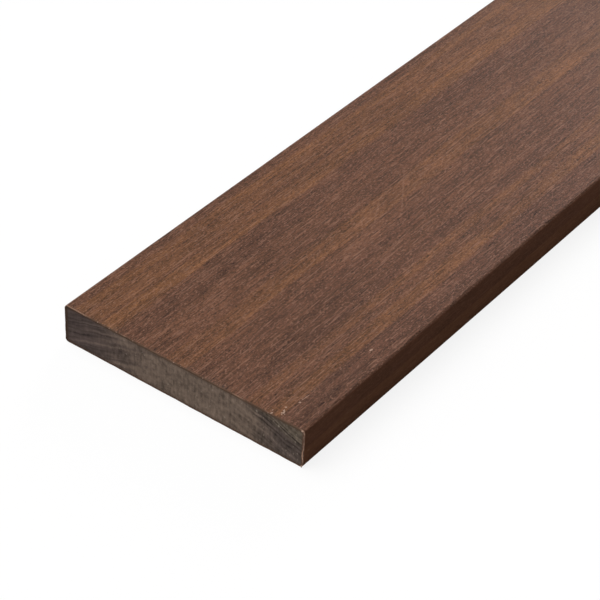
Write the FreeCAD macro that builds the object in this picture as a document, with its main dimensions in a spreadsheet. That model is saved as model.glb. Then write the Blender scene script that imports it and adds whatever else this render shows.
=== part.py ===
"""Capped composite decking board: a dense core inside a thin co-extruded cap, sawn square at both ends.

Millimetres, +Z up. The board lies flat with its length along X and its width along Y.
The origin is the middle of the underside.
"""

import FreeCAD, Part
import Sketcher
import os

# Driving dimensions of the stock.
SIZES = {
    "board_length": 2400.0,   # stock length, between the two saw cuts
    "board_width": 145.0,     # across the face, over the cap
    "board_thickness": 22.5,  # underside to walking face, over the cap
    "cap_thickness": 1.2,     # wall of the cap, the same on all four sides
    "edge_radius": 2.0,       # eased long edges, measured on the outside of the cap
}

# Sketcher's names for the ends of a line or arc.
START, END, CENTRE = 1, 2, 3
ORIGIN = (-1, 1)


def make_sheet(doc):
    """One row per driving dimension: its name in column A, its value under an alias in column B."""
    sheet = doc.addObject("Spreadsheet::Sheet", "Sizes")
    for row, (name, value) in enumerate(SIZES.items(), start=1):
        sheet.set(f"A{row}", name)
        sheet.set(f"B{row}", str(value))
        sheet.setAlias(f"B{row}", name)
    doc.recompute()
    return sheet


def origin_plane(body, role):
    """The body's own origin plane with that role."""
    return next(f for f in body.Origin.OriginFeatures if f.Role == role)


def section_sketch(body, name, width, height, radius):
    """A rectangle with rounded corners on the body's YZ plane, centred on the board's long axis.

    width, height and radius are expressions in the sheet's dimensions.
    """
    sketch = body.newObject("Sketcher::SketchObject", name)
    sketch.AttachmentSupport = (origin_plane(body, "YZ_Plane"), [""])
    sketch.MapMode = "FlatFace"

    # A first guess at the section, which the constraints below then pull to size.
    half_width = SIZES["board_width"] / 2
    half_height = SIZES["board_thickness"] / 2
    corner = SIZES["edge_radius"]
    inner_x = half_width - corner
    inner_y = half_height - corner
    at = FreeCAD.Vector
    sides = [
        (at(-inner_x, -half_height), at(inner_x, -half_height)),
        (at(half_width, -inner_y), at(half_width, inner_y)),
        (at(inner_x, half_height), at(-inner_x, half_height)),
        (at(-half_width, inner_y), at(-half_width, -inner_y)),
    ]
    bottom, right, top, left = (
        sketch.addGeometry(Part.LineSegment(start, end)) for start, end in sides
    )
    quarter = FreeCAD.Units.parseQuantity("90 deg").getValueAs("rad").Value
    centres = [at(inner_x, -inner_y), at(inner_x, inner_y), at(-inner_x, inner_y), at(-inner_x, -inner_y)]
    corners = []
    for turn, centre in enumerate(centres):
        circle = Part.Circle(centre, at(0, 0, 1), corner)
        arc = Part.ArcOfCircle(circle, (turn - 1) * quarter, turn * quarter)
        corners.append(sketch.addGeometry(arc))

    # Each corner runs smoothly out of one side and into the next, and all four are alike.
    ring = [bottom, right, top, left]
    for turn, arc in enumerate(corners):
        following = ring[(turn + 1) % len(ring)]
        sketch.addConstraint(Sketcher.Constraint("Tangent", ring[turn], END, arc, START))
        sketch.addConstraint(Sketcher.Constraint("Tangent", arc, END, following, START))
    for arc in corners[1:]:
        sketch.addConstraint(Sketcher.Constraint("Equal", corners[0], arc))
    for level in (bottom, top):
        sketch.addConstraint(Sketcher.Constraint("Horizontal", level))
    for upright in (right, left):
        sketch.addConstraint(Sketcher.Constraint("Vertical", upright))
    sketch.addConstraint(
        Sketcher.Constraint("Symmetric", corners[0], CENTRE, corners[2], CENTRE, *ORIGIN)
    )
    for label, constraint, expression in (
        ("Width", Sketcher.Constraint("DistanceX", left, END, right, START, 2 * half_width), width),
        ("Height", Sketcher.Constraint("DistanceY", bottom, END, top, START, 2 * half_height), height),
        ("Radius", Sketcher.Constraint("Radius", corners[0], corner), radius),
    ):
        sketch.renameConstraint(sketch.addConstraint(constraint), label)
        sketch.setExpression(f"Constraints.{label}", expression)
    return sketch


def new_body(doc, label):
    """A body whose section is centred half a board's thickness above the underside."""
    body = doc.addObject("PartDesign::Body", label)
    body.Label = label
    body.setExpression("Placement.Base.z", "Sizes.board_thickness / 2")
    return body


def extrude(body, kind, name, sketch):
    """A pad or pocket of the sketch, half the board's length each way from the middle."""
    feature = body.newObject(kind, name)
    feature.Profile = sketch
    feature.SideType = "Symmetric"
    feature.setExpression("Length", "Sizes.board_length")
    return feature


def make_core(doc):
    """The dense grey filling of the board, a cap's thickness inside the outline all round."""
    body = new_body(doc, "core")
    section = section_sketch(
        body,
        "CoreSection",
        width="Sizes.board_width - 2 * Sizes.cap_thickness",
        height="Sizes.board_thickness - 2 * Sizes.cap_thickness",
        radius="Sizes.edge_radius - Sizes.cap_thickness",
    )
    extrude(body, "PartDesign::Pad", "CoreLength", section)
    return body


def make_cap(doc):
    """The coloured skin that wraps the core on all four sides, open at the sawn ends."""
    body = new_body(doc, "cap")
    outline = section_sketch(
        body,
        "CapOutline",
        width="Sizes.board_width",
        height="Sizes.board_thickness",
        radius="Sizes.edge_radius",
    )
    extrude(body, "PartDesign::Pad", "CapLength", outline)
    bore = section_sketch(
        body,
        "CapInside",
        width="Sizes.board_width - 2 * Sizes.cap_thickness",
        height="Sizes.board_thickness - 2 * Sizes.cap_thickness",
        radius="Sizes.edge_radius - Sizes.cap_thickness",
    )
    extrude(body, "PartDesign::Pocket", "CapHollow", bore)
    return body


def check(doc, bodies):
    """Stops if any object failed to recompute, a sketch is under-defined or a body is no sound solid."""
    for thing in doc.Objects:
        if {"Invalid", "Error"} & set(thing.State):
            raise RuntimeError(f"{thing.Label} failed: {thing.State}")
        if thing.TypeId == "Sketcher::SketchObject" and not thing.FullyConstrained:
            raise RuntimeError(f"{thing.Label} isn't fully constrained")
    for body in bodies:
        shape = body.Shape
        if shape.isNull() or not shape.isValid() or len(shape.Solids) != 1:
            raise RuntimeError(f"{body.Label} isn't one valid solid")


def main():
    doc = FreeCAD.newDocument("DeckingBoard")
    make_sheet(doc)
    bodies = [make_core(doc), make_cap(doc)]
    doc.recompute()
    check(doc, bodies)
    os.makedirs("parts", exist_ok=True)
    for body in bodies:
        body.Shape.exportStep(f"parts/{body.Label}.step")
        box = body.Shape.BoundBox
        print(body.Label, "volume", round(body.Shape.Volume, 1), "mm3, from",
              [round(v, 3) for v in (box.XMin, box.YMin, box.ZMin)], "to",
              [round(v, 3) for v in (box.XMax, box.YMax, box.ZMax)])


main()
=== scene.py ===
"""A capped composite decking board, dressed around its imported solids.

Metres, in the solids' own frame: the length runs along X, the width along Y, and +Z is up from
the underside. The near end is the sawn end at the lowest X, which the camera looks at. Seen from
there, the left edge is the long edge at the highest Y and the right edge the one at the lowest.
"""

import bpy
import numpy as np
from mathutils import Matrix, Vector


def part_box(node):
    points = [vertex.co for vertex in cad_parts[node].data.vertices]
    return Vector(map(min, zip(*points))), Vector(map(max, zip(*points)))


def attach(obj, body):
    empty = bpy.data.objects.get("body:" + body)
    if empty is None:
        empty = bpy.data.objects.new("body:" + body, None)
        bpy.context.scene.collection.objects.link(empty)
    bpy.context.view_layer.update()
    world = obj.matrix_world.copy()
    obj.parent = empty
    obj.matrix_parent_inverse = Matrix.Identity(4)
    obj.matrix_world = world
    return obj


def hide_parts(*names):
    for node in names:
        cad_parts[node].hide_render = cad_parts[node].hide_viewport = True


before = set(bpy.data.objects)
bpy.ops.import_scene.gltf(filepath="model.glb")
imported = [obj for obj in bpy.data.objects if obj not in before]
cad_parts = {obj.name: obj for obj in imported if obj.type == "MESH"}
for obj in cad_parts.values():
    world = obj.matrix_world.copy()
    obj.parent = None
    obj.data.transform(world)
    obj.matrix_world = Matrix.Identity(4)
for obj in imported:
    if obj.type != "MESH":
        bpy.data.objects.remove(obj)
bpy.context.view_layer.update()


# Core. The dense inside of the board: wood flour bound in polymer, extruded hot and sawn square.
# It shows only at the two ends, where the blade has left fine upright marks and torn specks and
# the melt's flow shows as dark lines that slant down towards the board's two edges.

cap_low, cap_high = (np.array(corner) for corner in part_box("cap"))
core_low = np.array(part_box("core")[0])
board_length, board_width, board_thickness = cap_high - cap_low
half_length = board_length / 2
half_width = board_width / 2
half_thickness = board_thickness / 2
cap_thickness = core_low[2] - cap_low[2]
edge_radius = 0.002

core_half_width = half_width - cap_thickness
core_half_height = half_thickness - cap_thickness
core_corner = edge_radius - cap_thickness
core_corner_columns = 8
core_flat_columns = 380
core_rows = 52

saw_mark_depth = 0.00005
saw_mark_spacing = 0.0011
saw_mark_slant = 0.12
saw_mark_breaks = 3
torn_speck_depth = 0.00006
torn_speck_size = 0.0009
torn_speck_limit = 0.35
core_seed = 11


def lattice_noise(rng, u, v, cells_u, cells_v, wrap_v=False):
    """Smooth noise from -1 to 1 at u and v, which run from 0 to 1 over a lattice of cells.

    Each lattice point has a random height, and a place in a cell takes the average of the cell's
    four corners, weighted by 3t^2 - 2t^3 along each side. With wrap_v the last row is the first.
    """
    heights = rng.uniform(-1, 1, (cells_u + 2, cells_v + 2))
    if wrap_v:
        heights[:, cells_v] = heights[:, 0]
    at_u = np.clip(u, 0, 1) * cells_u
    at_v = np.clip(v, 0, 1) * cells_v
    i = at_u.astype(int)
    j = at_v.astype(int)
    s = at_u - i
    t = at_v - j
    s = s * s * (3 - 2 * s)
    t = t * t * (3 - 2 * t)
    near = heights[i, j] * (1 - t) + heights[i, j + 1] * t
    far = heights[i + 1, j] * (1 - t) + heights[i + 1, j + 1] * t
    return near * (1 - s) + far * s


def sawn_relief(rng, y, z):
    """How far a sawn face stands back at (y, z), in metres, at least 0.

    Two parts are added: ridges that follow y + slant * z, so they run nearly upright as a blade's
    teeth leave them, and specks torn out where a second noise passes its limit.
    """
    width = 2 * core_half_width
    height = 2 * core_half_height
    u = (y + core_half_width) / width
    v = (z + core_half_height) / height
    slanted = (y + saw_mark_slant * z + core_half_width) / width
    ridges = lattice_noise(rng, slanted, v, int(width / saw_mark_spacing), saw_mark_breaks)
    specks = lattice_noise(rng, u, v, int(width / torn_speck_size), int(height / torn_speck_size))
    torn = np.clip(specks - torn_speck_limit, 0, None)
    return saw_mark_depth * (1 + ridges) / 2 + torn_speck_depth * torn


def grid_quads(columns, rows):
    """Corner numbers of a grid's quads, where vertices are numbered row by row within a column."""
    first = (np.arange(columns - 1)[:, None] * rows + np.arange(rows - 1)).ravel()
    return np.stack([first, first + rows, first + rows + 1, first + 1], 1)


def core_surface(rng):
    """(vertices, quads, distance of each vertex from the section's outline) of the core.

    A sawn face is a grid. A column at y shares out the section's height there, which is the full
    height less what the corner's quarter circle takes: r - sqrt(r^2 - (|y| - (w/2 - r))^2).
    The outlines of the two faces are joined by straight quads for the long sides.
    """
    turn = np.linspace(0, np.pi / 2, core_corner_columns + 1)
    corner_y = core_half_width - core_corner + core_corner * np.sin(turn)
    flat_y = np.linspace(-corner_y[0], corner_y[0], core_flat_columns + 1)
    y = np.concatenate([-corner_y[:0:-1], flat_y, corner_y[1:]])
    beyond = np.clip(np.abs(y) - corner_y[0], 0, core_corner)
    column_height = core_half_height - core_corner + np.sqrt(core_corner**2 - beyond**2)
    share = np.linspace(-1, 1, core_rows + 1)
    y = np.repeat(y[:, None], share.size, 1)
    z = column_height[:, None] * share
    columns, rows = y.shape

    near = np.stack([-half_length + sawn_relief(rng, y, z), y, z + half_thickness], -1)
    far = np.stack([half_length - sawn_relief(rng, y, z), y, z + half_thickness], -1)
    vertices = np.concatenate([near.reshape(-1, 3), far.reshape(-1, 3)])

    face = grid_quads(columns, rows)
    number = np.arange(columns * rows).reshape(columns, rows)
    outline = np.concatenate([number[:-1, 0], number[-1, :-1], number[:0:-1, -1], number[0, :0:-1]])
    following = np.roll(outline, -1)
    offset = columns * rows
    sides = np.stack([outline, following, following + offset, outline + offset], 1)
    quads = np.concatenate([face[:, ::-1], face + offset, sides])

    beyond_y = np.abs(y) - (core_half_width - core_corner)
    beyond_z = np.abs(z) - (core_half_height - core_corner)
    outside = np.hypot(np.clip(beyond_y, 0, None), np.clip(beyond_z, 0, None))
    inside = np.minimum(np.maximum(beyond_y, beyond_z), 0)
    rim = core_corner - outside - inside
    return vertices, quads, np.tile(rim.ravel(), 2)


def new_piece(name, vertices, faces, replaced=None):
    """A mesh object at the origin that rides with the board, and hides the part that it replaces,
    if any.
    """
    mesh = bpy.data.meshes.new(name)
    mesh.from_pydata(vertices, [], faces)
    mesh.validate()
    piece = bpy.data.objects.new(name, mesh)
    bpy.context.collection.objects.link(piece)
    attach(piece, "root")
    if replaced:
        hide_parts(replaced)
    return piece


def point_value(piece, name, values):
    """Stores one number for each vertex under that name, for the piece's material to read."""
    layer = piece.data.attributes.new(name, "FLOAT", "POINT")
    layer.data.foreach_set("value", np.asarray(values, np.float32).ravel())


def display(red, green, blue):
    """Linear colour of a display colour given from 0 to 255, by the sRGB curve."""
    share = np.array([red, green, blue]) / 255
    linear = np.where(share <= 0.04045, share / 12.92, ((share + 0.055) / 1.055) ** 2.4)
    return (*linear.tolist(), 1.0)


def node(tree, kind, inputs=None, **settings):
    """A shader node with its settings made. An input is linked if it is a socket, and else set."""
    made = tree.nodes.new("ShaderNode" + kind)
    for name, value in settings.items():
        setattr(made, name, value)
    for name, value in (inputs or {}).items():
        if isinstance(value, bpy.types.NodeSocket):
            tree.links.new(value, made.inputs[name])
        else:
            made.inputs[name].default_value = value
    return made


def maths(tree, operation, first, second=0.0, third=0.0):
    """One sum of up to three numbers or sockets."""
    inputs = dict(enumerate((first, second, third)))
    return node(tree, "Math", inputs, operation=operation).outputs[0]


def times(tree, first, second):
    """The product of two numbers or sockets."""
    return maths(tree, "MULTIPLY", first, second)


def shifted(tree, base, amount, by):
    """base + amount * by."""
    return maths(tree, "MULTIPLY_ADD", amount, by, base)


def most(tree, first, second):
    """The larger of two numbers or sockets."""
    return maths(tree, "MAXIMUM", first, second)


def ramp(tree, value, start, end, low=0.0, high=1.0):
    """low up to start and high from end on, with a smooth S between them."""
    inputs = {"Value": value, "From Min": start, "From Max": end, "To Min": low, "To Max": high}
    return node(tree, "MapRange", inputs, interpolation_type="SMOOTHSTEP").outputs[0]


def fade(tree, value, start, end, high=1.0):
    """high up to start and 0 from end on, with a smooth S between them."""
    return ramp(tree, value, start, end, high, 0.0)


def tint(tree, share, under, over, how="MIX"):
    """The colour under with a share of the colour over mixed in."""
    made = node(tree, "Mix", {0: share, 6: under, 7: over}, data_type="RGBA", blend_type=how)
    return made.outputs[2]


def shaded(tree, colour, light):
    """The colour times a brightness."""
    return tint(tree, 1.0, colour, light, "MULTIPLY")


def noise(tree, place, per_metre, detail=2.0, roughness=0.5):
    """Noise about 0.5 whose cells along X, Y and Z number per_metre."""
    stretched = node(tree, "VectorMath", {0: place, 1: per_metre}, operation="MULTIPLY").outputs[0]
    inputs = {"Vector": stretched, "Scale": 1.0, "Detail": detail, "Roughness": roughness}
    return node(tree, "TexNoise", inputs).outputs[0]


def swing(tree, place, per_metre, detail=2.0, roughness=0.5):
    """The same noise about 0."""
    return maths(tree, "SUBTRACT", noise(tree, place, per_metre, detail, roughness), 0.5)


def speckled(tree, place, per_metre, levels, strength, detail=2.0, roughness=0.5):
    """Marks that start where a noise passes the first level and are full from the second on."""
    return ramp(tree, noise(tree, place, per_metre, detail, roughness), *levels, high=strength)


def new_material(name, gloss):
    """(material, its tree, its Principled shader), with only its specular level set."""
    material = bpy.data.materials.new(name)
    material.use_nodes = True
    tree = material.node_tree
    shader = tree.nodes["Principled BSDF"]
    shader.inputs["Specular IOR Level"].default_value = gloss
    return material, tree, shader


def add_bump(tree, shader, height, strength, distance):
    """Tilts the shading as if the surface rose by height times distance."""
    bump = node(tree, "Bump", {"Strength": strength, "Distance": distance, "Height": height})
    tree.links.new(bump.outputs[0], shader.inputs["Normal"])


sawn_gloss = 0.15
core_roughness = 0.85


def core_finish():
    """Matt grey-brown filling: pale in the middle of the section and darker towards both edges.

    Each edge darkens over its own width. The lines of flow follow depth + slope * distance from
    the nearer edge, so that they slant down towards it.
    """
    middle_grey = display(111, 95, 83)
    left_grey = display(82, 69, 65)
    right_grey = display(85, 73, 67)
    corner_olive = display(104, 92, 79)
    flow_dark = display(54, 46, 42)
    rim_brown = display(64, 48, 38)
    fibre_pale = display(164, 148, 132)

    # Cells for each metre of the noises. The lines of flow and the flecks also have the levels of
    # their noise where they start and are full, and their strength.
    cloud_cells = (40, 45, 60)
    stream_cells = (420, 420, 420)
    mottle_cells = (60, 70, 110)
    mark_cells = (200, 760, 140)
    speck_cells = (380, 420, 420)
    line_marks = ((900, 900, 900), (0.46, 0.58), 1.0)
    fleck_marks = ((620, 700, 480), (0.64, 0.80), 0.55)

    # The flow's slope and unevenness, and where each tone starts and ends: from an edge, along the
    # flow's own measure, below the upper face or from the section's outline.
    flow_slope = 0.29
    flow_stir = 0.006
    flow_lengthening = 0.05
    mottled_reach = 0.02
    streamed_reach = 0.05
    left_fade = (0.006, 0.066)
    right_fade = (0.012, 0.034)
    olive_limit = (0.0085, 0.0125)
    line_start = (0.004, 0.009)
    line_stop = (0.012, 0.016)
    line_clear = (0.0012, 0.0045)
    right_line_reach = (0.020, 0.046)
    left_line_reach = (0.020, 0.038)
    edge_zone = (0.020, 0.050)
    rim_reach = (0.0002, 0.0016)
    dark_rim_reach = (0.002, 0.010)

    # How much each unevenness lightens and darkens the face, and how strong a mark is by an edge.
    speck_weight = 1.6
    mottle_weight = 1.1
    edge_streaming = 2.3
    middle_streaming = 0.4
    left_tearing = 0.5
    left_flecking = 0.15
    right_line_strength = 0.9
    left_line_strength = 0.5
    upper_line_strength = 0.3
    left_rim_strength = 0.85
    other_rim_strength = 0.28

    material, tree, shader = new_material("sawn_core", sawn_gloss)
    place = node(tree, "TexCoord").outputs["Object"]
    at = node(tree, "SeparateXYZ", {0: place}).outputs
    from_left = maths(tree, "SUBTRACT", half_width, at["Y"])
    from_right = maths(tree, "ADD", half_width, at["Y"])
    from_edge = maths(tree, "MINIMUM", from_left, from_right)
    depth = maths(tree, "SUBTRACT", board_thickness, at["Z"])
    clouds = swing(tree, place, cloud_cells, detail=3)
    flow = shifted(tree, shifted(tree, depth, clouds, flow_stir), from_edge, flow_slope)
    along_flow = times(tree, from_edge, flow_lengthening)
    flow_place = node(tree, "CombineXYZ", {"X": flow, "Y": along_flow}).outputs[0]

    # Both edges darken, and the upper right corner, above the lines of flow, stays olive.
    streaming = swing(tree, flow_place, stream_cells)
    mottle = swing(tree, place, mottle_cells, detail=3)
    left_reach = shifted(tree, from_left, mottle, mottled_reach)
    left_reach = shifted(tree, left_reach, streaming, streamed_reach)
    right_reach = shifted(tree, from_right, mottle, mottled_reach)
    colour = tint(tree, fade(tree, left_reach, *left_fade), middle_grey, left_grey)
    right_tone = tint(tree, ramp(tree, flow, *olive_limit), corner_olive, right_grey)
    colour = tint(tree, fade(tree, right_reach, *right_fade), colour, right_tone)

    # The lines of flow are thin, dark and close together, and lie in a band about that limit.
    lines = speckled(tree, flow_place, *line_marks, detail=1.5)
    line_band = times(tree, ramp(tree, flow, *line_start), fade(tree, flow, *line_stop))
    line_band = times(tree, line_band, ramp(tree, depth, *line_clear, low=upper_line_strength))
    right_lines = fade(tree, from_right, *right_line_reach, high=right_line_strength)
    left_lines = fade(tree, from_left, *left_line_reach, high=left_line_strength)
    line_share = times(tree, times(tree, lines, line_band), most(tree, right_lines, left_lines))
    colour = tint(tree, line_share, colour, flow_dark)

    # Saw marks and torn specks, light and dark, all over, and pale flecks of wood.
    marks = swing(tree, place, mark_cells)
    specks = noise(tree, place, speck_cells, detail=3, roughness=0.6)
    torn = shifted(tree, marks, maths(tree, "SUBTRACT", specks, 0.5), speck_weight)
    light = shifted(tree, 1.0, mottle, mottle_weight)
    light = shifted(tree, light, torn, ramp(tree, from_left, *edge_zone, low=left_tearing))
    streamed = ramp(tree, from_edge, *edge_zone, low=edge_streaming, high=middle_streaming)
    light = shifted(tree, light, streaming, streamed)
    colour = shaded(tree, colour, light)
    flecks = speckled(tree, place, *fleck_marks, detail=1)
    fleck_share = times(tree, flecks, ramp(tree, from_left, *edge_zone, low=left_flecking))
    colour = tint(tree, fleck_share, colour, fibre_pale)

    # A thin brown skin lies against the cap, darkest on the left.
    rim = node(tree, "Attribute", attribute_name="rim").outputs["Fac"]
    rim_strength = ramp(
        tree, from_left, *dark_rim_reach, low=left_rim_strength, high=other_rim_strength
    )
    rim_share = times(tree, fade(tree, rim, *rim_reach), rim_strength)
    colour = tint(tree, rim_share, colour, rim_brown)
    tree.links.new(colour, shader.inputs["Base Color"])
    shader.inputs["Roughness"].default_value = core_roughness
    add_bump(tree, shader, specks, strength=0.3, distance=0.0002)
    return material


core_vertices, core_quads, core_rim = core_surface(np.random.default_rng(core_seed))
core_bar = new_piece("core_bar", core_vertices, core_quads, "core")
point_value(core_bar, "rim", core_rim)
core_bar.data.materials.append(core_finish())


# Cap. The skin of coloured polymer extruded round the core in one pass and brushed lengthwise, so
# that its grain is streaks of brown and ochre pigment and fine scratched fibres.
# The saw has cut it square at the ends and left the arris ragged and paler than the rest.

# Points round the section and stations along it, how far these stay from the sawn ends, and the
# steps over a sawn ring.
top_points = 96
under_points = 48
side_points = 10
corner_points = 8
stations = 470
end_zone = 0.0004
ring_steps = 4
cap_seed = 5

# The brushed relief: its depth, and the weight, cells along and cells round of each of its layers.
brush_depth = 0.00016
brush_layers = (
    (0.45, 14, 60),
    (0.35, 45, 110),
    (0.20, 120, 170),
)

# The worn arris: its depth, the shares of it that are even and ragged, and what counts as a chip.
arris_wear = 0.00028
arris_even = 0.55
arris_ragged = 0.35
chip_limit = 0.55
ragged_cells = 150
chip_cells = 60

# The three finishes of the cap, the height of a quad's normal under which it is a side, those
# between which the brushing and the scuffs set in, and the gloss and roughness of faces and sides.
brushed_face, plain_side, sawn_wall = range(3)
side_facing = 0.5
flat_facing = (0.3, 0.95)
upper_facing = (0.5, 0.9)
face_gloss = 0.24
side_gloss = 0.03
sheen_roughness = 0.32
sheen_spread = 0.12
edge_dulling = 0.55

brown = display(103, 69, 50)
ochre = display(120, 80, 50)
umber = display(89, 59, 45)
fibre_light = display(160, 119, 97)
pore_dark = display(54, 35, 24)
arris_pale = display(178, 140, 117)
cut_brown = display(98, 75, 60)
cut_dark = display(84, 63, 50)
cut_red = display(96, 71, 57)

# Streaks of ochre and of umber pigment: how far each lies from the left edge, half its width and
# its strength. The underside has the same streaks shifted across.
ochre_streaks = (
    (0.0100, 0.0024, 0.9),
    (0.0180, 0.0042, 0.55),
    (0.0277, 0.0040, 1.0),
    (0.0700, 0.0058, 0.8),
    (0.1140, 0.0024, 0.55),
    (0.1264, 0.0030, 0.8),
)
umber_streaks = (
    (0.0015, 0.0026, 0.5),
    (0.0400, 0.0055, 0.45),
    (0.0880, 0.0030, 0.3),
    (0.1072, 0.0030, 0.5),
    (0.1384, 0.0078, 0.75),
)
streak_inside = 0.0006
streak_outside = 0.0012
streak_wander = 0.006
streak_fray = 0.0035
under_shift = 0.041

# Noises of the pigment: cells for each metre along X, Y and Z, the levels between which a broken
# streak is whole again, its least share, the clouds' levels and strength, and the patches' weight.
wander_cells = (5, 60, 60)
fray_cells = (26, 420, 420)
break_cells = (9, 150, 150)
break_levels = (0.25, 0.6)
broken_share = 0.65
umber_clouds = ((7, 95, 95), (0.42, 0.64), 0.35)
patch_cells = (16, 62, 62)
patch_weight = 0.9

# Faint scuffs on the upper face: where each starts and where it ends, as the distance from the
# near end and the distance from the left edge.
scuffs = (
    ((0.148, 0.0780), (0.167, 0.0675)),
    ((0.166, 0.0825), (0.203, 0.0586)),
)
scuff_core = 0.00016
scuff_edge = 0.00064
scuff_strength = 0.22
scuff_full_share = 0.7

# Layers of the brushed grain: cells for each metre along and across, and weight. The sides have a
# smaller share of it all.
grain_layers = (
    (1000, 1500, 2.1),
    (300, 1300, 1.3),
    (80, 1000, 1.4),
    (20, 1000, 0.9),
)
side_grain = 0.22

# Marks of the brushing: cells for each metre along X, Y and Z, the levels of their noise where
# they start and are full, and their strength.
nib_marks = ((650, 1500, 1500), (0.56, 0.74), 0.6)
fibre_marks = ((90, 1500, 1500), (0.58, 0.72), 0.55)
groove_marks = ((22, 1250, 1250), (0.58, 0.68), 0.4)


def cap_outline():
    """(y and z from the section's middle, outward normals) of points round a rounded rectangle.

    Four flats and four quarter circles follow each other. A point on a quarter circle lies its
    radius from the corner's centre, and its normal points from there.
    """
    inner_y = half_width - edge_radius
    inner_z = half_thickness - edge_radius
    centres = ((inner_y, inner_z), (-inner_y, inner_z), (-inner_y, -inner_z), (inner_y, -inner_z))
    flats = (top_points, side_points, under_points, side_points)
    places = []
    normals = []
    for turn, (centre, flat) in enumerate(zip(centres, flats)):
        angle = np.linspace(turn, turn + 1, corner_points + 1) * np.pi / 2
        outward = np.stack([np.cos(angle), np.sin(angle)], 1)
        arc = np.array(centre) + edge_radius * outward
        following = np.array(centres[(turn + 1) % 4]) + edge_radius * outward[-1]
        share = np.linspace(0, 1, flat + 1)[1:-1, None]
        places += [arc, arc[-1] + share * (following - arc[-1])]
        normals += [outward, np.repeat(outward[-1:], flat - 1, 0)]
    return np.concatenate(places), np.concatenate(normals)


def ring_depth(rng, round_share):
    """Depths over a sawn ring below the outer face, from the worn arris in to the core.

    The wear is the sum of an even share, a ragged noise and chips where another noise passes its
    limit, and the steps from there share out the rest of the cap's wall.
    """
    start = np.zeros(len(round_share))
    ragged = lattice_noise(rng, start, round_share, 1, ragged_cells, wrap_v=True)
    chips = lattice_noise(rng, start, round_share, 1, chip_cells, wrap_v=True)
    chipped = np.clip(chips - chip_limit, 0, None)
    worn = arris_wear * (arris_even + arris_ragged * ragged + chipped)
    return worn + (cap_thickness - worn) * np.linspace(0, 1, ring_steps)[:, None]


def cap_surface(rng):
    """(vertices, quads, finish of each quad, depth of each vertex below the outer face).

    The section's outline is carried round a closed path of (x, depth): along the outer face, in
    over the sawn ring at the far end, back along the core and out over the ring at the near end.
    A vertex is outline - depth * normal at that x, so the grid closes on itself both ways.
    A quad is a face or a side by the height of its normal, or sawn where it lies on a ring.
    """
    outline, normal = cap_outline()
    points = len(outline)
    step = np.hypot(*(np.roll(outline, -1, 0) - outline).T)
    round_share = (np.cumsum(step) - step) / step.sum()

    run = np.linspace(-half_length + end_zone, half_length - end_zone, stations)
    far_ring = np.full(ring_steps, half_length)
    path_x = np.concatenate([run, far_ring, -far_ring])
    along = np.repeat(((run + half_length) / board_length)[:, None], points, 1)
    around = np.repeat(round_share[None], stations, 0)
    brushed = sum(
        weight * lattice_noise(rng, along, around, cells, lanes, wrap_v=True)
        for weight, cells, lanes in brush_layers
    )
    outer_depth = brush_depth * (1 - brushed) / 2
    far_depth = ring_depth(rng, round_share)
    near_depth = ring_depth(rng, round_share)[::-1]
    depth = np.concatenate([outer_depth, far_depth, near_depth])
    flat = outline - depth[..., None] * normal
    x = np.repeat(path_x[:, None], points, 1)
    vertices = np.stack([x, flat[..., 0], flat[..., 1] + half_thickness], -1).reshape(-1, 3)

    path_points = len(path_x)
    number = np.arange(path_points * points).reshape(path_points, points)
    ahead = np.roll(number, -1, 0)
    beside = np.roll(number, -1, 1)
    quads = np.stack([number, beside, np.roll(ahead, -1, 1), ahead], -1).reshape(-1, 4)

    at = np.arange(path_points)
    inner_run = stations + ring_steps - 1
    sawn = (at >= stations - 1) & (at != inner_run)
    facing = np.abs(normal + np.roll(normal, -1, 0))[:, 1] / 2
    finish = np.where(facing < side_facing, plain_side, brushed_face)
    finish = np.where(sawn[:, None], sawn_wall, finish[None])
    return vertices, quads, finish.ravel(), depth.ravel()


def streak_share(tree, across, streaks):
    """How much pigment of some streaks lies at a distance across: the strongest streak there.

    A streak has its strength within its half width of its own line and fades to 0 past it.
    """
    share = 0.0
    for centre, reach, strength in streaks:
        off = maths(tree, "ABSOLUTE", maths(tree, "SUBTRACT", across, centre))
        streak = fade(tree, off, reach - streak_inside, reach + streak_outside, high=strength)
        share = most(tree, share, streak)
    return share


def scuff_share(tree, from_end, from_left):
    """How pale the scuffs make a place: a scuff's strength along its line, and 0 off it.

    With d the scuff's direction and r the way from its start, r.d is the distance along it and
    r x d the distance from it. A scuff fades over the outer parts of its length.
    """
    share = 0.0
    for start, end in scuffs:
        length = np.hypot(*np.subtract(end, start))
        along_x, along_y = np.subtract(end, start) / length
        x = maths(tree, "SUBTRACT", from_end, start[0])
        y = maths(tree, "SUBTRACT", from_left, start[1])
        along = shifted(tree, times(tree, y, along_y), x, along_x)
        off = maths(tree, "SUBTRACT", times(tree, x, along_y), times(tree, y, along_x))
        line = fade(tree, maths(tree, "ABSOLUTE", off), scuff_core, scuff_edge, high=scuff_strength)
        middle = maths(tree, "ABSOLUTE", maths(tree, "SUBTRACT", along, length / 2))
        within = fade(tree, middle, scuff_full_share * length / 2, length / 2)
        share = shifted(tree, share, line, within)
    return share


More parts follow.
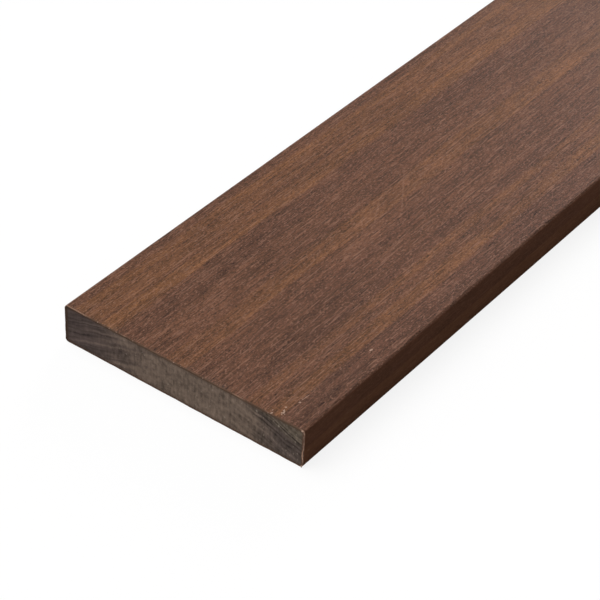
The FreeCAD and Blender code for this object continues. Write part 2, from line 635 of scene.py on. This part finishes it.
def cap_finish(name, gloss):
    """Brushed wood-grain polymer: pigment streaks under fine light fibres and dark pores.

    The streaks wander and fray along the length, and the underside's are shifted across.
    The brushed faces have a soft sheen, and the edges and sides are dull.
    """
    material, tree, shader = new_material(name, gloss)
    place = node(tree, "TexCoord").outputs["Object"]
    at = node(tree, "SeparateXYZ", {0: place}).outputs
    from_left = maths(tree, "SUBTRACT", half_width, at["Y"])
    from_end = maths(tree, "ADD", at["X"], half_length)
    normal = node(tree, "NewGeometry").outputs["Normal"]
    facing = node(tree, "SeparateXYZ", {0: normal}).outputs["Z"]
    flatness = ramp(tree, maths(tree, "ABSOLUTE", facing), *flat_facing)
    brushed = shifted(tree, side_grain, flatness, 1 - side_grain)

    # Pigment: streaks of ochre and umber in brown, and clouds of umber and of light and shade.
    under = maths(tree, "LESS_THAN", at["Z"], half_thickness)
    across = shifted(tree, from_left, under, under_shift)
    across = shifted(tree, across, swing(tree, place, wander_cells, detail=1), streak_wander)
    across = shifted(tree, across, swing(tree, place, fray_cells), streak_fray)
    broken = ramp(tree, noise(tree, place, break_cells), *break_levels, low=broken_share)
    ochre_share = times(tree, streak_share(tree, across, ochre_streaks), broken)
    colour = tint(tree, ochre_share, brown, ochre)
    colour = tint(tree, streak_share(tree, across, umber_streaks), colour, umber)
    clouds = speckled(tree, place, *umber_clouds, detail=3, roughness=0.55)
    colour = tint(tree, clouds, colour, umber)
    patches = swing(tree, place, patch_cells, detail=3, roughness=0.6)
    colour = shaded(tree, colour, shifted(tree, 1.0, patches, patch_weight))

    # Brushing: layers of grain, pale nibs and fibres, dark grooves, and the scuffs over them.
    grain = 0.0
    for along_cells, across_cells, weight in grain_layers:
        cells = (along_cells, across_cells, across_cells)
        layer = swing(tree, place, cells, detail=1.5, roughness=0.6)
        grain = shifted(tree, grain, layer, weight)
    light = shifted(tree, 1.0, grain, brushed)
    colour = shaded(tree, colour, light)
    nibs = speckled(tree, place, *nib_marks, detail=1)
    fibres = speckled(tree, place, *fibre_marks, detail=1.5)
    colour = tint(tree, times(tree, most(tree, nibs, fibres), brushed), colour, fibre_light)
    grooves = speckled(tree, place, *groove_marks, detail=1)
    pore_share = times(tree, grooves, brushed)
    colour = tint(tree, pore_share, colour, pore_dark)
    on_top = ramp(tree, facing, *upper_facing)
    scuffed = times(tree, scuff_share(tree, from_end, from_left), on_top)
    colour = tint(tree, scuffed, colour, fibre_light)
    tree.links.new(colour, shader.inputs["Base Color"])

    sheen = shifted(tree, sheen_roughness, light, sheen_spread)
    dulled = shifted(tree, edge_dulling, flatness, -edge_dulling)
    tree.links.new(maths(tree, "ADD", sheen, dulled), shader.inputs["Roughness"])
    height = maths(tree, "SUBTRACT", light, pore_share)
    add_bump(tree, shader, height, strength=0.3, distance=0.0002)
    return material


def cut_finish():
    """The cap's sawn wall: brown, with a broken pale line where the arris is torn.

    The line is strongest on the right upright edge, where a strip of it is peeled in from the
    arris, and comes and goes on the others. It is rubbed pale at the upper left corner.
    """
    # Depths below the outer face: how far tears reach, and where the pale line, the peeled strip,
    # the pale patches and the dark seam lie.
    torn_reach = 0.0013
    line_depth = 0.0001
    line_reach = (0.0001, 0.0004)
    peel_depth = 0.0006
    patch_reach = (0.0002, 0.0005)
    seam_start = (0.0005, 0.0009)

    # Heights of the peeled strip's foot and head, and distances from an edge.
    peel_foot = (0.003, 0.006)
    peel_head = (0.009, 0.012)
    edge_zone = (0.001, 0.003)
    rubbed_zone = (0.011, 0.018)
    dark_seam_zone = (0.01, half_width - 0.01)

    # Cells for each metre of the noises, the levels where the line frays and its least share, and
    # the levels and strength of the patches.
    tear_cells = (300, 260, 260)
    line_cells = (500, 500, 500)
    line_levels = (0.42, 0.60)
    line_share = 0.2
    patch_marks = ((120, 120, 120), (0.5, 0.7), 0.45)
    speck_cells = (1500, 1500, 1500)

    # How strong the tones are: the dark left edge, the rubbed corner, the seam on the left and on
    # the right, and the specks' shade and light.
    left_strength = 0.7
    rubbed_strength = 0.55
    left_seam = 0.8
    right_seam = 0.1
    speck_shade = 0.6
    speck_light = 0.8
    cut_roughness = 0.8

    material, tree, shader = new_material("sawn_cap", sawn_gloss)
    place = node(tree, "TexCoord").outputs["Object"]
    at = node(tree, "SeparateXYZ", {0: place}).outputs
    from_left = maths(tree, "SUBTRACT", half_width, at["Y"])
    from_right = maths(tree, "ADD", half_width, at["Y"])
    from_top = maths(tree, "SUBTRACT", board_thickness, at["Z"])
    depth = node(tree, "Attribute", attribute_name="skin_depth").outputs["Fac"]
    reach = shifted(tree, depth, swing(tree, place, tear_cells), torn_reach)
    right_edge = fade(tree, from_right, *edge_zone)
    left_edge = fade(tree, from_left, *edge_zone, high=left_strength)
    upper_edge = fade(tree, from_top, *edge_zone)

    # The torn line on the right upright edge.
    peeled = times(tree, ramp(tree, at["Z"], *peel_foot), fade(tree, at["Z"], *peel_head))
    frayed = ramp(tree, noise(tree, place, line_cells), *line_levels, low=line_share)
    frayed = most(tree, frayed, most(tree, upper_edge, peeled))
    torn_depth = shifted(tree, line_depth, peeled, peel_depth)
    off_line = maths(tree, "ABSOLUTE", maths(tree, "SUBTRACT", reach, torn_depth))
    right_line = times(tree, fade(tree, off_line, *line_reach), right_edge)
    right_line = times(tree, right_line, frayed)

    # The pale patches along the other edges.
    patches = speckled(tree, place, *patch_marks, detail=3)
    rubbed = fade(tree, from_left, *rubbed_zone, high=rubbed_strength)
    patches = most(tree, patches, times(tree, rubbed, upper_edge))
    patches = times(tree, fade(tree, reach, *patch_reach), patches)

    # Brown at the arris and darker inside, most of all towards the left.
    seam_share = ramp(tree, from_left, *dark_seam_zone, low=left_seam, high=right_seam)
    seam = tint(tree, seam_share, cut_dark, pore_dark)
    colour = tint(tree, ramp(tree, reach, *seam_start), cut_brown, seam)
    colour = tint(tree, right_edge, colour, cut_red)
    colour = tint(tree, left_edge, colour, pore_dark)
    colour = tint(tree, most(tree, right_line, patches), colour, arris_pale)
    specks = noise(tree, place, speck_cells)
    colour = shaded(tree, colour, shifted(tree, speck_shade, specks, speck_light))
    tree.links.new(colour, shader.inputs["Base Color"])
    shader.inputs["Roughness"].default_value = cut_roughness
    add_bump(tree, shader, specks, strength=0.4, distance=0.0001)
    return material


cap_vertices, cap_quads, cap_finishes, cap_depth = cap_surface(np.random.default_rng(cap_seed))
cap_skin = new_piece("cap_skin", cap_vertices, cap_quads, "cap")
point_value(cap_skin, "skin_depth", cap_depth)
cap_skin.data.materials.append(cap_finish("brushed_cap", face_gloss))
cap_skin.data.materials.append(cap_finish("cap_sides", side_gloss))
cap_skin.data.materials.append(cut_finish())
cap_skin.data.polygons.foreach_set("material_index", cap_finishes.astype(np.int32))
cap_skin.data.polygons.foreach_set("use_smooth", cap_finishes != sawn_wall)


# Saw crumbs. Bits of the cap that the blade tore off: a few lie loose on the face near the sawn
# end, and burrs of the same stuff still hang on the arris, most of them on the right upright edge.

# Each loose crumb: distance from the left edge, distance from the near end, length and width.
loose_crumbs = np.array([
    (0.1256, 0.0005, 0.0013, 0.0010),
    (0.1246, 0.0025, 0.0008, 0.0006),
    (0.1297, 0.0027, 0.0009, 0.0006),
    (0.1291, 0.0035, 0.0010, 0.0007),
    (0.1307, 0.0037, 0.0009, 0.0006),
    (0.1297, 0.0042, 0.0014, 0.0010),
    (0.1295, 0.0051, 0.0011, 0.0008),
    (0.1289, 0.0056, 0.0013, 0.0009),
    (0.1282, 0.0079, 0.0014, 0.0008),
    (0.1312, 0.0147, 0.0014, 0.0010),
    (0.1310, 0.0190, 0.0060, 0.0002),
    (0.1344, 0.0667, 0.0020, 0.0010),
])
# Two larger burrs on the near end's right edge: distance from that edge, height, and size along
# X, Y and Z.
corner_burrs = np.array([
    (0.0009, 0.0008, 0.0008, 0.0007, 0.0014),
    (0.0012, 0.0219, 0.0006, 0.0016, 0.0007),
])
burrs_at_each_end = 26
burr_size = 0.0005
burr_least = 0.4
burr_most = 1.2
upright_facing = 0.9
crumb_flatness = 0.5
crumb_jag = 0.33
crumb_turn = 0.35
crumb_lift = 0.25
crumb_roughness = 0.8
crumb_pale = display(184, 155, 135)
crumb_cells = (1800, 1800, 1800)
crumb_shade = 0.4
crumb_light = 1.2
crumb_seed = 23


def crumb_shapes(rng, centres, sizes):
    """(vertices, triangles) of many jagged crumbs, each with its own centre and three sizes.

    A crumb is an icosahedron, whose corners are the turns of (0, 1, golden ratio), with every
    corner moved in or out by up to a third and the whole turned about the upright by chance.
    Its faces are the triples of corners that lie an edge apart, turned to face outwards.
    """
    golden = (1 + np.sqrt(5)) / 2
    radius = np.hypot(1, golden)
    one, other = np.meshgrid([-1, 1], [-golden, golden], indexing="ij")
    plane = np.stack([np.zeros(4), one.ravel(), other.ravel()], 1)
    corners = np.concatenate([plane, np.roll(plane, 1, 1), np.roll(plane, 2, 1)]) / radius
    apart = np.linalg.norm(corners[:, None] - corners, axis=2)
    joined = np.isclose(apart, 2 / radius)
    triples = np.argwhere(joined[:, :, None] & joined[None] & joined[:, None])
    faces = triples[(np.diff(triples) > 0).all(1)]
    start, second, third = corners[faces].transpose(1, 0, 2)
    inward = (np.cross(second - start, third - start) * start).sum(1) < 0
    faces[inward] = faces[inward][:, ::-1]

    count = len(centres)
    jag = rng.uniform(1 - crumb_jag, 1 + crumb_jag, (count, len(corners), 1))
    shapes = corners * jag * (sizes[:, None] / 2)
    turn = rng.normal(0, crumb_turn, count)[:, None]
    turned = np.stack([
        shapes[..., 0] * np.cos(turn) - shapes[..., 1] * np.sin(turn),
        shapes[..., 0] * np.sin(turn) + shapes[..., 1] * np.cos(turn),
        shapes[..., 2],
    ], -1)
    vertices = (turned + centres[:, None]).reshape(-1, 3)
    first = len(corners) * np.arange(count)[:, None, None]
    return vertices, (faces[None] + first).reshape(-1, 3)


def burr_places(rng):
    """Places round both sawn arrises, at least half of them on the right upright edge.

    A burr sits on the section's outline, the wear's depth in along the normal there.
    """
    outline, normal = cap_outline()
    upright = np.flatnonzero(normal[:, 0] < -upright_facing)
    picked = np.concatenate([
        rng.choice(upright, burrs_at_each_end),
        rng.choice(len(outline), burrs_at_each_end),
    ])
    flat = outline[picked] - arris_wear * normal[picked]
    x = np.tile([-half_length, half_length], burrs_at_each_end)
    return np.stack([x, flat[:, 0], flat[:, 1] + half_thickness], 1)


def crumb_finish():
    """Pale torn polymer, matt and mottled."""
    material, tree, shader = new_material("torn_crumbs", sawn_gloss)
    place = node(tree, "TexCoord").outputs["Object"]
    mottled = shifted(tree, crumb_shade, noise(tree, place, crumb_cells), crumb_light)
    tree.links.new(shaded(tree, crumb_pale, mottled), shader.inputs["Base Color"])
    shader.inputs["Roughness"].default_value = crumb_roughness
    return material


crumb_rng = np.random.default_rng(crumb_seed)
loose_across, loose_along, loose_length, loose_width = loose_crumbs.T
loose_height = loose_width * crumb_flatness
loose_sizes = np.stack([loose_length, loose_width, loose_height], 1)
loose_centres = np.stack([
    loose_along - half_length,
    half_width - loose_across,
    board_thickness - brush_depth / 2 + crumb_lift * loose_height,
], 1)
corner_centres = np.stack([
    np.full(len(corner_burrs), -half_length),
    corner_burrs[:, 0] - half_width,
    corner_burrs[:, 1],
], 1)
burr_centres = burr_places(crumb_rng)
burr_sizes = burr_size * crumb_rng.uniform(burr_least, burr_most, burr_centres.shape)
crumb_vertices, crumb_triangles = crumb_shapes(
    crumb_rng,
    np.concatenate([loose_centres, corner_centres, burr_centres]),
    np.concatenate([loose_sizes, corner_burrs[:, 2:], burr_sizes]),
)
saw_crumbs = new_piece("saw_crumbs", crumb_vertices, crumb_triangles)
saw_crumbs.data.materials.append(crumb_finish())


# Floor. A plain white studio sweep that the board lies on, seen from above only. To the camera it
# is white with the board's shadow, and to the board it is a dim grey, as in a dark studio.
# It is open just inside the board's outline, so that light reaches an underside seen from below.

floor_reach = 60.0
floor_overlap = 0.003
floor_drop = 0.0002
floor_glow = 0.86
floor_shadow_grey = 0.16
floor_bounce_grey = 0.62


def floor_finish():
    """White light for the camera, plus a little of the light that falls there, so shadows show."""
    material = bpy.data.materials.new("studio_floor")
    material.use_nodes = True
    tree = material.node_tree
    tree.nodes.remove(tree.nodes["Principled BSDF"])
    ray = node(tree, "LightPath").outputs
    seen = most(tree, ray["Is Camera Ray"], ray["Is Glossy Ray"])
    seen = most(tree, seen, ray["Is Transmission Ray"])
    glow = node(tree, "Emission", {"Color": (1, 1, 1, 1), "Strength": floor_glow})
    lit = node(tree, "BsdfDiffuse", {"Color": (*[floor_shadow_grey] * 3, 1)})
    white = node(tree, "AddShader", {0: glow.outputs[0], 1: lit.outputs[0]})
    dim = node(tree, "BsdfDiffuse", {"Color": (*[floor_bounce_grey] * 3, 1)})
    above = node(tree, "MixShader", {0: seen, 1: dim.outputs[0], 2: white.outputs[0]})
    below = node(tree, "BsdfTransparent")
    back = node(tree, "NewGeometry").outputs["Backfacing"]
    both = node(tree, "MixShader", {0: back, 1: above.outputs[0], 2: below.outputs[0]})
    tree.links.new(both.outputs[0], tree.nodes["Material Output"].inputs["Surface"])
    return material


floor_turn = np.array([[-1, -1, 0], [1, -1, 0], [1, 1, 0], [-1, 1, 0]], float)
floor_opening = (half_length - floor_overlap, half_width - floor_overlap, 0)
floor_corners = np.concatenate([floor_turn * floor_reach, floor_turn * floor_opening])
floor_corners[:, 2] = -floor_drop
floor_quads = [(0, 1, 5, 4), (1, 2, 6, 5), (2, 3, 7, 6), (3, 0, 4, 7)]
floor_mesh = bpy.data.meshes.new("floor")
floor_mesh.from_pydata(floor_corners, [], floor_quads)
floor = bpy.data.objects.new("floor", floor_mesh)
bpy.context.collection.objects.link(floor)
floor_mesh.materials.append(floor_finish())


# Light. Three broad soft lamps: one overhead, one low behind that lays a sheen along the face, and
# one in front on the left that reaches the sawn end. The right side stays in shade.
# The studio around them is dim, but white to the camera and below the floor.

# Each lamp: the direction that it stands in, its strength, its spread in degrees and its colour.
lamps = {
    "overhead": ((-0.15, 0.40, 0.90), 2.0, 50, (1, 1, 1)),
    "behind": ((0.94, 0.25, 0.24), 0.95, 25, (1, 0.84, 0.82)),
    "front_left": ((-0.88, 0.30, 0.36), 0.8, 60, (1, 1, 1)),
}
for name, (towards, strength, spread, colour) in lamps.items():
    lamp = bpy.data.lights.new(name, "SUN")
    lamp.energy = strength
    lamp.angle = np.radians(spread)
    lamp.color = colour
    sun = bpy.data.objects.new(name, lamp)
    sun.rotation_mode = "QUATERNION"
    sun.rotation_quaternion = Vector(towards).to_track_quat("Z", "Y")
    bpy.context.collection.objects.link(sun)

studio_dim = 0.17
world = bpy.data.worlds.new("studio")
world.use_nodes = True
bpy.context.scene.world = world
sky = world.node_tree
sky_ray = node(sky, "LightPath").outputs
sky_direction = node(sky, "TexCoord").outputs["Generated"]
sky_height = node(sky, "SeparateXYZ", {0: sky_direction}).outputs["Z"]
sky_white = most(sky, sky_ray["Is Camera Ray"], sky_ray["Is Transmission Ray"])
sky_white = most(sky, sky_white, maths(sky, "LESS_THAN", sky_height, 0.0))
sky_strength = shifted(sky, studio_dim, sky_white, 1 - studio_dim)
sky.nodes["Background"].inputs["Color"].default_value = (1, 1, 1, 1)
sky.links.new(sky_strength, sky.nodes["Background"].inputs["Strength"])


# Camera. A long lens above and to the right of the near end, tilted a little, as the photograph
# was taken. Its place is given from the middle of the near end's lower edge.

lens_mm = 133.37
sensor_mm = 36.0
camera_from_end = Vector((-0.61972, -0.50205, 0.69036))
camera_right = Vector((0.60067, -0.79847, 0.04050))
camera_back = Vector((-0.64314, -0.45249, 0.61776))

camera_data = bpy.data.cameras.new("camera")
camera_data.lens = lens_mm
camera_data.sensor_width = sensor_mm
camera = bpy.data.objects.new("camera", camera_data)
camera_up = camera_back.cross(camera_right)
camera_turn = Matrix((camera_right, camera_up, camera_back)).transposed().to_4x4()
camera_place = Matrix.Translation(camera_from_end - Vector((half_length, 0, 0)))
camera.matrix_world = camera_place @ camera_turn
bpy.context.collection.objects.link(camera)
bpy.context.scene.camera = camera
bpy.context.scene.view_settings.view_transform = "Standard"
